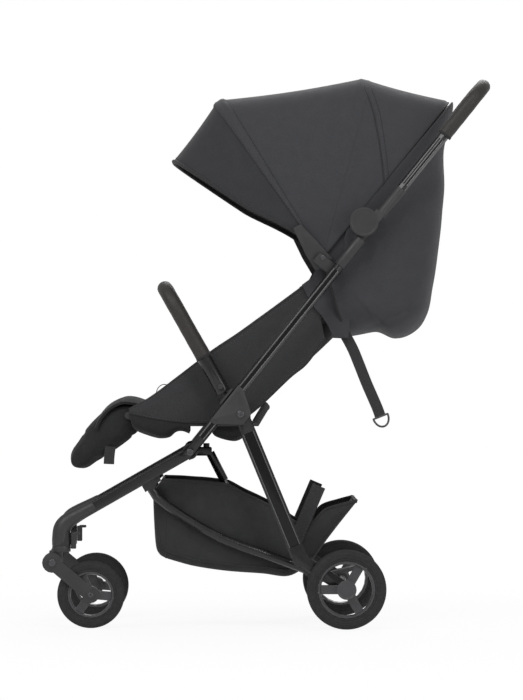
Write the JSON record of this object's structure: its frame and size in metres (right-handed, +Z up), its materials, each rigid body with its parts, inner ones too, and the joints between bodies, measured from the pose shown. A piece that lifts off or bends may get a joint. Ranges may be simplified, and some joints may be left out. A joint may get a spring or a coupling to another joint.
{
  "type": "stroller",
  "caption": "Compact black travel stroller: folding tube frame, reclining padded seat, arched hood, bumper bar, under-seat basket, swivel front and larger rear wheels.",
  "frame": {"origin": "middle of the footprint box, on the ground", "axes": "+Z up, the front faces -Y, +X is the stroller's own left side"},
  "size_m": [0.5014, 0.8476, 1.0461],
  "materials": {
    "frame_metal": "painted satin black",
    "black_plastic": "fine grained, satin",
    "bolt_metal": "blackened",
    "tyre_rubber": "matt foam rubber",
    "rim_plastic": "satin dark grey",
    "grip_foam": "stitched leather-look sleeve",
    "hood_fabric": "fine woven charcoal",
    "seat_fabric": "woven black melange",
    "webbing": "ribbed webbing"
  },
  "bodies": {
    "frame": {"main_tube_left": "frame_metal", "main_tube_right": "frame_metal", "lower_cross_tube": "frame_metal", "seat_cross_tube": "frame_metal", "leg_bracket_left": "black_plastic", "leg_bracket_right": "black_plastic", "lower_hub_left": "black_plastic", "lower_hub_right": "black_plastic", "hood_rear_bow": "black_plastic", "hood_rear_cloth": "hood_fabric", "back_panel": "hood_fabric", "bumper_mount_left": "black_plastic", "bumper_mount_right": "black_plastic", "seat_board": "black_plastic", "seat_cushion": "seat_fabric", "side_wing_left": "seat_fabric", "side_wing_right": "seat_fabric", "harness_buckle": "black_plastic", "fold_strut": "frame_metal"},
    "handle": {"upper_hub_left": "black_plastic", "upper_hub_right": "black_plastic", "handle_tube": "frame_metal", "handle_grip": "grip_foam"},
    "rear_legs": {"rear_leg_left": "frame_metal", "rear_leg_right": "frame_metal", "rear_axle_tube": "frame_metal"},
    "brake": {"brake_pedal": "black_plastic"},
    "rear_wheel_left": {"rear_tyre_left": "tyre_rubber", "rear_rim_left": "rim_plastic"},
    "rear_wheel_right": {"rear_tyre_right": "tyre_rubber", "rear_rim_right": "rim_plastic"},
    "front_legs": {"front_leg_left": "frame_metal", "front_leg_right": "frame_metal"},
    "caster_left": {"caster_left": "black_plastic"},
    "caster_right": {"caster_right": "black_plastic"},
    "fork_left": {"front_fork_left": "black_plastic"},
    "fork_right": {"front_fork_right": "black_plastic"},
    "front_wheel_left": {"front_tyre_left": "tyre_rubber", "front_rim_left": "rim_plastic"},
    "front_wheel_right": {"front_tyre_right": "tyre_rubber", "front_rim_right": "rim_plastic"},
    "lock_left": {"swivel_lock_left": "black_plastic"},
    "lock_right": {"swivel_lock_right": "black_plastic"},
    "lower_rails": {"lower_rail_left": "frame_metal", "lower_rail_right": "frame_metal", "basket": "seat_fabric"},
    "strut_rod": {"strut_rod": "bolt_metal"},
    "fold_knob": {"release_knob": "black_plastic"},
    "backrest": {"backrest": "seat_fabric", "shoulder_straps": "webbing", "recline_strap": "webbing"},
    "footrest": {"footrest": "seat_fabric"},
    "hood_mid": {"hood_mid_bow": "black_plastic"},
    "hood_front": {"hood_front_bow": "black_plastic", "hood_front_cloth": "hood_fabric"},
    "bumper": {"bumper_bar": "frame_metal", "bumper_sleeve": "grip_foam"},
    "bumper_button_left": {"bumper_button_left": "bolt_metal"},
    "bumper_button_right": {"bumper_button_right": "bolt_metal"},
    "buckle_button": {"buckle_button": "bolt_metal"}
  },
  "joints": [
    {"name": "handle_fold", "type": "hinge", "parent": "frame", "child": "handle", "pos_m": [0, 0.18368, 0.76662], "axis": [1, 0, 0], "range_deg": [0, 160], "deforming": ["hood_front_bow", "hood_front_cloth"]},
    {"name": "frame_fold", "type": "hinge", "parent": "frame", "child": "rear_legs", "pos_m": [0, -0.04891, 0.40475], "axis": [1, 0, 0], "range_deg": [0, 88], "deforming": ["basket", "recline_strap", "back_panel"]},
    {"name": "front_leg_fold", "type": "hinge", "parent": "frame", "child": "front_legs", "pos_m": [0, -0.1442, 0.333], "axis": [1, 0, 0], "range_deg": [0, 150]},
    {"name": "rail_fold", "type": "hinge", "parent": "rear_legs", "child": "lower_rails", "pos_m": [0, 0.0822, 0.1066], "axis": [1, 0, 0], "range_deg": [-28, 0]},
    {"name": "strut_slide", "type": "slide", "parent": "frame", "child": "strut_rod", "axis": [0, 0.454, -0.891], "range_m": [0, 0.031]},
    {"name": "knob_press", "type": "slide", "parent": "frame", "child": "fold_knob", "axis": [0, 0, -1], "range_m": [0, 0.004], "stiffness_N_per_m": 300, "springref_m": -0.001},
    {"name": "brake_press", "type": "hinge", "parent": "rear_legs", "child": "brake", "pos_m": [0, 0.115, 0.097], "axis": [-1, 0, 0], "range_deg": [0, 20]},
    {"name": "rear_spin_left", "type": "hinge", "parent": "rear_legs", "child": "rear_wheel_left", "pos_m": [0.2362, 0.1504, 0.075], "axis": [1, 0, 0], "continuous": true},
    {"name": "rear_spin_right", "type": "hinge", "parent": "rear_legs", "child": "rear_wheel_right", "pos_m": [-0.2362, 0.1504, 0.075], "axis": [1, 0, 0], "continuous": true},
    {"name": "swivel_left", "type": "hinge", "parent": "front_legs", "child": "caster_left", "pos_m": [0.184, -0.3873, 0.155], "axis": [0, 0, 1], "continuous": true},
    {"name": "swivel_right", "type": "hinge", "parent": "front_legs", "child": "caster_right", "pos_m": [-0.184, -0.3873, 0.155], "axis": [0, 0, 1], "continuous": true},
    {"name": "lock_press_left", "type": "slide", "parent": "front_legs", "child": "lock_left", "axis": [0, 0, -1], "range_m": [0, 0.003]},
    {"name": "lock_press_right", "type": "slide", "parent": "front_legs", "child": "lock_right", "axis": [0, 0, -1], "range_m": [0, 0.003]},
    {"name": "spring_left", "type": "hinge", "parent": "caster_left", "child": "fork_left", "pos_m": [0.184, -0.4043, 0.124], "axis": [1, 0, 0], "range_deg": [0, 8], "stiffness_Nm_per_rad": 40, "springref_deg": -3.44},
    {"name": "spring_right", "type": "hinge", "parent": "caster_right", "child": "fork_right", "pos_m": [-0.184, -0.4043, 0.124], "axis": [1, 0, 0], "range_deg": [0, 8], "stiffness_Nm_per_rad": 40, "springref_deg": -3.44},
    {"name": "front_spin_left", "type": "hinge", "parent": "fork_left", "child": "front_wheel_left", "pos_m": [0.184, -0.3317, 0.0635], "axis": [1, 0, 0], "continuous": true},
    {"name": "front_spin_right", "type": "hinge", "parent": "fork_right", "child": "front_wheel_right", "pos_m": [-0.184, -0.3317, 0.0635], "axis": [1, 0, 0], "continuous": true},
    {"name": "recline", "type": "hinge", "parent": "frame", "child": "backrest", "pos_m": [0, 0, 0.41715], "axis": [1, 0, 0], "range_deg": [-30, 10], "deforming": ["back_panel", "side_wing_left", "side_wing_right", "recline_strap"]},
    {"name": "footrest_tilt", "type": "hinge", "parent": "frame", "child": "footrest", "pos_m": [0, -0.262, 0.40085], "axis": [-1, 0, 0], "range_deg": [-20, 35]},
    {"name": "hood_fold", "type": "hinge", "parent": "frame", "child": "hood_mid", "pos_m": [0, 0.10646, 0.69947], "axis": [1, 0, 0], "range_deg": [-20, 8], "deforming": ["hood_rear_cloth", "hood_front_cloth"]},
    {"name": "hood_front_fold", "type": "hinge", "parent": "hood_mid", "child": "hood_front", "pos_m": [0, 0.10646, 0.69947], "axis": [1, 0, 0], "range_deg": [-40, 16]},
    {"name": "bumper_pull", "type": "slide", "parent": "frame", "child": "bumper", "axis": [0, -0.4924, 0.8704], "range_m": [0, 0.045]},
    {"name": "bumper_press_left", "type": "slide", "parent": "bumper", "child": "bumper_button_left", "axis": [-1, 0, 0], "range_m": [0, 0.0025], "stiffness_N_per_m": 300, "springref_m": -0.001},
    {"name": "bumper_press_right", "type": "slide", "parent": "bumper", "child": "bumper_button_right", "axis": [1, 0, 0], "range_m": [0, 0.0025], "stiffness_N_per_m": 300, "springref_m": -0.001},
    {"name": "buckle_press", "type": "slide", "parent": "frame", "child": "buckle_button", "axis": [0, 0.9397, -0.342], "range_m": [0, 0.0025], "stiffness_N_per_m": 300, "springref_m": -0.001}
  ],
  "couplings": [
    {"joint": "front_leg_fold", "follows": "frame_fold", "ratio": 1.7},
    {"joint": "rail_fold", "follows": "frame_fold", "ratio": -0.31},
    {"joint": "strut_slide", "follows": "frame_fold", "m_per_rad": 0.0195},
    {"joint": "hood_front_fold", "follows": "hood_fold", "ratio": 2}
  ]
}
